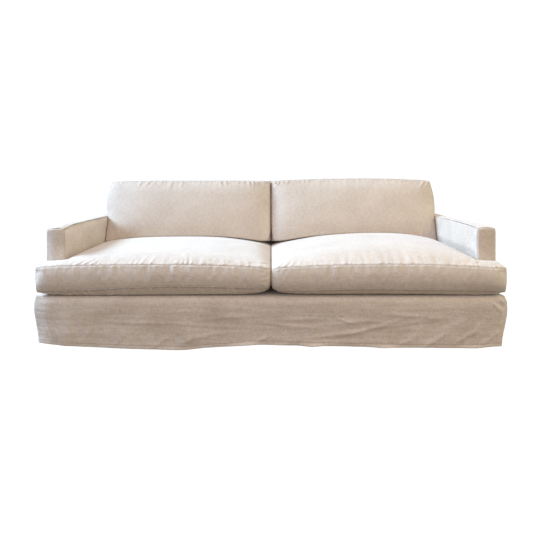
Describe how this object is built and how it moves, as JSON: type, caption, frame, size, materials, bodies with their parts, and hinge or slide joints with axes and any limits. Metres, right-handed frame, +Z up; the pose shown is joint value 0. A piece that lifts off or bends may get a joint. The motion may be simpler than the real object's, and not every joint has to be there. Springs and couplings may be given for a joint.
{
  "type": "sofa slipcover with seat and back cushions",
  "caption": "Fitted linen slipcover of a low sofa with slim track arms, its plain base ending in a loose hem, with crowned seat cushions and leaning back cushions.",
  "frame": {"origin": "on the ground plan's centre, at the height of the lowest point of the hem", "axes": "+X to the right as the sofa is faced from the front, +Y from front to back, +Z up"},
  "size_m": [2.1495, 0.9757, 0.7596],
  "materials": {
    "cover_linen": "matte plain-woven heavy linen, washed, natural oatmeal colour with paler and darker slubs",
    "cushion_linen": "the same matte heavy linen, drawn tight over a soft filling, with plain seams"
  },
  "bodies": {
    "root": {"arm_front_left": "cover_linen", "arm_front_right": "cover_linen", "arm_inside_left": "cover_linen", "arm_inside_right": "cover_linen", "arm_top_left": "cover_linen", "arm_top_right": "cover_linen", "back_cushion_left": "cushion_linen", "back_cushion_right": "cushion_linen", "back_end_left": "cover_linen", "back_end_right": "cover_linen", "back_inside": "cover_linen", "back_outside": "cover_linen", "back_top": "cover_linen", "base_front": "cover_linen", "seat_cushion_left": "cushion_linen", "seat_cushion_right": "cushion_linen", "seat_deck": "cover_linen", "side_left": "cover_linen", "side_right": "cover_linen"}
  },
  "joints": []
}
